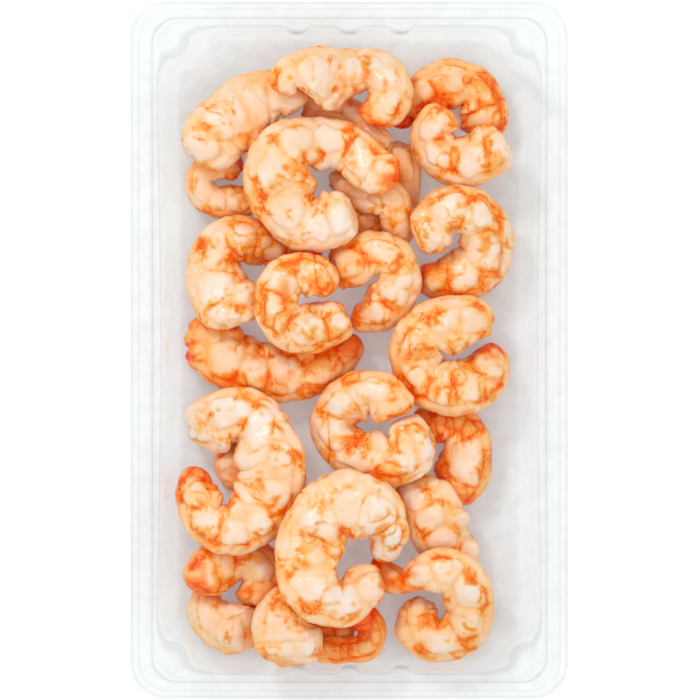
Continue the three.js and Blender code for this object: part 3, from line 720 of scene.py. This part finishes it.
def shrimp_body(name, finish, marks, ends, path, laid, heap, seed):
    """Builds one shrimp where it lies in the heap."""
    skin, outward, ahead, full, half, length, round_share = body_rings(path, laid)
    height, seam, wrinkle = lobes(skin, length, round_share, half, seed)
    near_tray = tray_floor(skin[..., 0], skin[..., 1]) > skin[..., 2] - TRAY_MARGIN
    height = np.where(near_tray, np.minimum(height, 0), height)
    skin = skin + outward * (height * full[:, None])[..., None]
    from_head = np.linspace(0, length, len(skin))[:, None]
    torn = 1.5 * noise(skin, 2.6, seed + 11) + 0.6 * noise(skin, 1, seed + 12)
    torn = torn * np.exp(-from_head / TORN_REACH)
    skin[..., :2] += ahead[:, None] * torn[..., None]

    obj = mesh_object(f"visual_{name}", skin)
    # How much the heap around each point rises above it, for the painted shade of gaps and contacts.
    shade = heap.share_above(skin)
    from_tail = length - from_head
    reddened = ends[0] * np.exp(-from_head / END_REACH) + ends[1] * np.exp(-from_tail / END_REACH)
    colour, marked = flesh_colours(
        skin, seam, wrinkle, height, outward, finish, marks, reddened, shade, seed)
    paint(obj, "flesh", np.concatenate([colour, marked[..., None]], axis=-1))
    obj.data.materials.append(flesh_material(finish))
    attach(obj, "root")
    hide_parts(f"shrimp_{name}")


# Materials

def node_material(name):
    """A new material with its nodes, its links and its main shader."""
    material = bpy.data.materials.new(name)
    material.use_nodes = True
    nodes = material.node_tree.nodes
    return material, nodes, material.node_tree.links, nodes["Principled BSDF"]


def object_noise(nodes, links, lump, detail):
    """Noise that rides with the object, in lumps about this many millimetres across."""
    place = nodes.new("ShaderNodeTexCoord")
    texture = nodes.new("ShaderNodeTexNoise")
    texture.inputs["Scale"].default_value = 1 / (lump * MM)
    texture.inputs["Detail"].default_value = detail
    links.new(place.outputs["Object"], texture.inputs["Vector"])
    return texture.outputs["Fac"]


def ranged(nodes, links, value, low, high):
    """A value mapped smoothly from 0 at low to 1 at high."""
    spread = nodes.new("ShaderNodeMapRange")
    spread.interpolation_type = "SMOOTHSTEP"
    spread.inputs["From Min"].default_value = low
    spread.inputs["From Max"].default_value = high
    links.new(value, spread.inputs["Value"])
    return spread.outputs["Result"]


def combined(nodes, links, operation, first, second):
    """One math node's result, from two sockets or a socket and a number."""
    node = nodes.new("ShaderNodeMath")
    node.operation = operation
    for socket, value in zip(node.inputs, (first, second)):
        if isinstance(value, (int, float)):
            socket.default_value = value
        else:
            links.new(value, socket)
    return node.outputs["Value"]


def multiplied(nodes, links, colour, stain, amount):
    """A colour multiplied by a fixed stain, by an amount."""
    mix = nodes.new("ShaderNodeMix")
    mix.data_type = "RGBA"
    mix.blend_type = "MULTIPLY"
    links.new(amount, mix.inputs["Factor"])
    links.new(colour, mix.inputs[6])
    mix.inputs[7].default_value = (*stain, 1)
    return mix.outputs[2]


def flesh_material(finish):
    """Wet, slightly translucent flesh in the mesh's colours, which hold painted light and shade, veined
    and specked where it is marked.
    """
    name = f"flesh_{finish}"
    if name in bpy.data.materials:
        return bpy.data.materials[name]
    material, nodes, links, shader = node_material(name)
    painted = nodes.new("ShaderNodeVertexColor")
    painted.layer_name = "flesh"
    marked = painted.outputs["Alpha"]
    winding = combined(nodes, links, "SUBTRACT", object_noise(nodes, links, VEIN_LUMP, 1.5), 0.5)
    vein = ranged(nodes, links, combined(nodes, links, "ABSOLUTE", winding, 0), 0.02, 0.004)
    vein = combined(nodes, links, "MULTIPLY", vein, ranged(nodes, links, marked, 0.3, 0.9))
    speck = ranged(nodes, links, object_noise(nodes, links, SPECK_LUMP, 1), 0.64, 0.72)
    speck = combined(nodes, links, "MULTIPLY", speck, ranged(nodes, links, marked, 0.35, 0.8))
    colour = multiplied(nodes, links, painted.outputs["Color"], LINE, vein)
    colour = multiplied(nodes, links, colour, SPECK, speck)
    links.new(colour, shader.inputs["Base Color"])
    for socket, value in FLESH_SHINE.items():
        shader.inputs[socket].default_value = value
    shader.inputs["Subsurface Radius"].default_value = SCATTER_SHARES
    shader.inputs["Subsurface Scale"].default_value = SCATTER_REACH * MM
    relief = nodes.new("ShaderNodeBump")
    relief.inputs["Strength"].default_value = 0.35
    relief.inputs["Distance"].default_value = RELIEF_DEPTH * MM
    links.new(object_noise(nodes, links, RELIEF_LUMP, 2), relief.inputs["Height"])
    links.new(relief.outputs["Normal"], shader.inputs["Normal"])
    links.new(relief.outputs["Normal"], shader.inputs["Coat Normal"])
    return material


def clear_plastic():
    """Clear formed sheet: it lets light and sight through, and shines more at a slant."""
    material, nodes, links, shader = node_material("clear_sheet")
    nodes.remove(shader)
    output = nodes["Material Output"]
    # Light let through at each point, with painted shade at sharp bends.
    painted = nodes.new("ShaderNodeVertexColor")
    painted.layer_name = "clarity_and_bend_shade"
    mottle = ranged(nodes, links, object_noise(nodes, links, MOTTLE_LUMP, 2), 0.35, 0.7)
    tint = multiplied(nodes, links, painted.outputs["Color"], MOTTLE, mottle)
    through = nodes.new("ShaderNodeBsdfTransparent")
    links.new(tint, through.inputs["Color"])
    gloss = nodes.new("ShaderNodeBsdfGlossy")
    gloss.inputs["Color"].default_value = (0.9, 0.9, 0.9, 1)
    gloss.inputs["Roughness"].default_value = 0.08
    slant = nodes.new("ShaderNodeFresnel")
    slant.inputs["IOR"].default_value = 1.5
    geometry = nodes.new("ShaderNodeNewGeometry")
    front = combined(nodes, links, "SUBTRACT", 1, geometry.outputs["Backfacing"])
    share = combined(nodes, links, "MULTIPLY", slant.outputs["Fac"], front)
    share = combined(nodes, links, "MULTIPLY", share, SHEET_GLOSS)
    mix = nodes.new("ShaderNodeMixShader")
    links.new(share, mix.inputs[0])
    links.new(through.outputs[0], mix.inputs[1])
    links.new(gloss.outputs[0], mix.inputs[2])
    links.new(mix.outputs[0], output.inputs["Surface"])
    return material


# Stage

def add_floor():
    """The white ground, a little below the tray."""
    corners = [(x * FLOOR_HALF, y * FLOOR_HALF, 0) for x, y in ((-1, -1), (1, -1), (1, 1), (-1, 1))]
    mesh = bpy.data.meshes.new("floor")
    mesh.from_pydata(corners, [], [(0, 1, 2, 3)])
    floor = bpy.data.objects.new("floor", mesh)
    bpy.context.scene.collection.objects.link(floor)
    material, *_, shader = node_material("floor_white")
    shader.inputs["Base Color"].default_value = FLOOR_COLOUR
    shader.inputs["Roughness"].default_value = 0.9
    shader.inputs["Emission Color"].default_value = (1, 1, 1, 1)
    shader.inputs["Emission Strength"].default_value = FLOOR_GLOW
    mesh.materials.append(material)
    floor.location.z = -FLOOR_DROP


def add_area_light(name, place, size, power):
    """A square lamp that faces the tray."""
    data = bpy.data.lights.new(name, "AREA")
    data.size = size
    data.energy = power
    light = bpy.data.objects.new(name, data)
    light.location = place
    light.rotation_euler = (-light.location).to_track_quat("-Z", "Y").to_euler()
    bpy.context.scene.collection.objects.link(light)


def add_lights():
    world = bpy.data.worlds.new("studio")
    world.use_nodes = True
    background = world.node_tree.nodes["Background"]
    background.inputs["Color"].default_value = (1, 1, 1, 1)
    background.inputs["Strength"].default_value = SKY_STRENGTH
    bpy.context.scene.world = world
    for name, (place, size, power) in LAMPS.items():
        add_area_light(name, place, size, power)


def add_camera():
    data = bpy.data.cameras.new("camera")
    data.type = "PERSP"
    data.sensor_fit = "HORIZONTAL"
    data.sensor_width = SENSOR
    data.lens = SENSOR * CAMERA_DISTANCE / FRAME_WIDTH
    data.clip_end = 10
    camera = bpy.data.objects.new("camera", data)
    camera.location = (CAMERA_SIDESTEP * MM, 0, (RIM_HEIGHT + CAMERA_DISTANCE) * MM)
    bpy.context.scene.collection.objects.link(camera)
    bpy.context.scene.camera = camera


def add_tray():
    rings, clear_and_bend_shade = tray_rings()
    tray = mesh_object("visual_tray", rings)
    # Light let through by each ring, with painted shade at sharp bends.
    paint(tray, "clarity_and_bend_shade", np.broadcast_to(clear_and_bend_shade[:, None, None], (*rings.shape[:2], 4)))
    tray.data.materials.append(clear_plastic())
    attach(tray, "root")
    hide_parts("tray")


def main():
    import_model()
    add_tray()
    heap = HeightMap()
    laid = [settle(heap, path) for *_, path in SHRIMP]
    for seed, (name, finish, marks, ends, path) in enumerate(SHRIMP):
        shrimp_body(name, finish, marks, ends, path, laid[seed], heap, 100 * seed)
    add_floor()
    add_lights()
    add_camera()
    bpy.context.scene.view_settings.view_transform = "Standard"


main()
